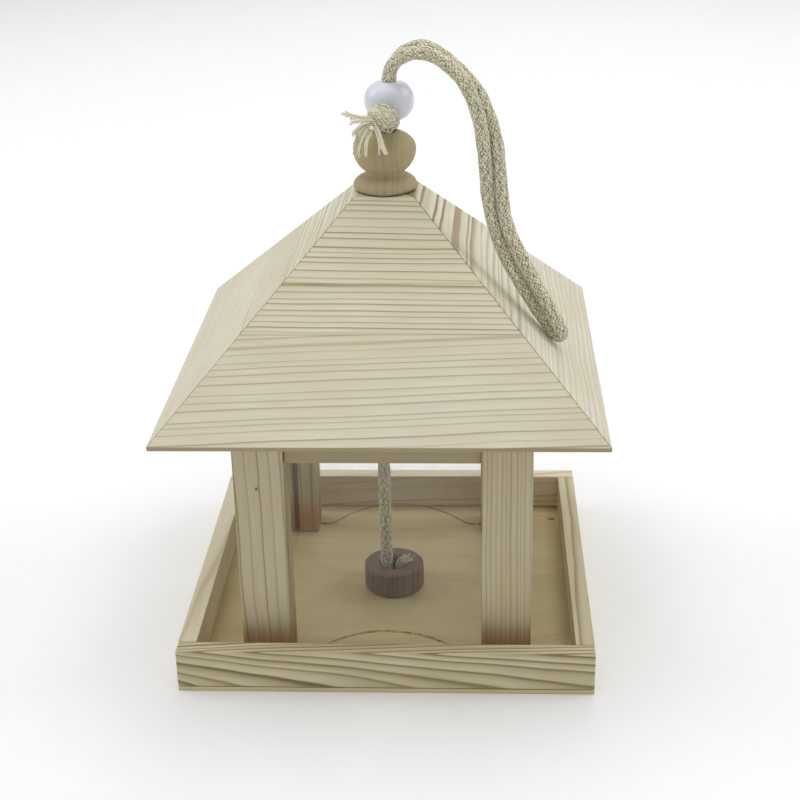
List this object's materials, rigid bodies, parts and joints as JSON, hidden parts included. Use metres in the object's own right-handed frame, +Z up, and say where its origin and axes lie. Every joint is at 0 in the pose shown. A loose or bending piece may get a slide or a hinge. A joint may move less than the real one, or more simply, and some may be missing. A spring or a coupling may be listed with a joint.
{
  "type": "hanging bird feeder",
  "caption": "Square wooden hopper bird feeder with a tray, clear panes, a hipped roof that slides up its rope, a turned finial, a bead and a hanging loop.",
  "frame": {"origin": "centre of the tray's underside", "axes": "+Z up, +Y to the back, +X to the right as seen from the front"},
  "size_m": [0.2, 0.203, 0.2833],
  "materials": {
    "pine": "planed and sanded, unfinished",
    "plywood": "sanded, unfinished",
    "beech": "turned, lightly waxed",
    "dark_wood": "turned, unfinished",
    "clear_plastic": "clear, slightly hazy",
    "white_glaze": "gloss white",
    "cotton_rope": "braided natural cotton",
    "steel": "zinc plated"
  },
  "bodies": {
    "tray": {"tray_floor": "plywood", "tray_rail_front": "pine", "tray_rail_back": "pine", "tray_rail_left": "pine", "tray_rail_right": "pine", "post_front_left": "pine", "post_front_right": "pine", "post_back_left": "pine", "post_back_right": "pine", "top_rail_front": "pine", "top_rail_back": "pine", "top_rail_left": "pine", "top_rail_right": "pine", "hopper_pane_front": "clear_plastic", "hopper_pane_back": "clear_plastic", "hopper_pane_left": "clear_plastic", "hopper_pane_right": "clear_plastic", "rope_anchor_disc": "dark_wood", "anchor_strand": "cotton_rope", "strand_tail": "cotton_rope", "post_screw_front_left": "steel", "post_screw_front_right": "steel", "post_screw_back_left": "steel", "post_screw_back_right": "steel", "disc_screw_front": "steel", "disc_screw_back": "steel"},
    "roof": {"roof_panel_front": "pine", "roof_panel_back": "pine", "roof_panel_left": "pine", "roof_panel_right": "pine", "finial": "beech"},
    "bead": {"bead": "white_glaze", "hanging_loop": "cotton_rope", "stopper_knot": "cotton_rope", "knot_tassel": "cotton_rope"}
  },
  "joints": [
    {"name": "roof_lift", "type": "slide", "parent": "tray", "child": "roof", "axis": [0, 0, 1], "range_m": [0, 0.12]},
    {"name": "bead_slide", "type": "slide", "parent": "roof", "child": "bead", "axis": [0, 0, 1], "range_m": [0, 0.04]}
  ]
}
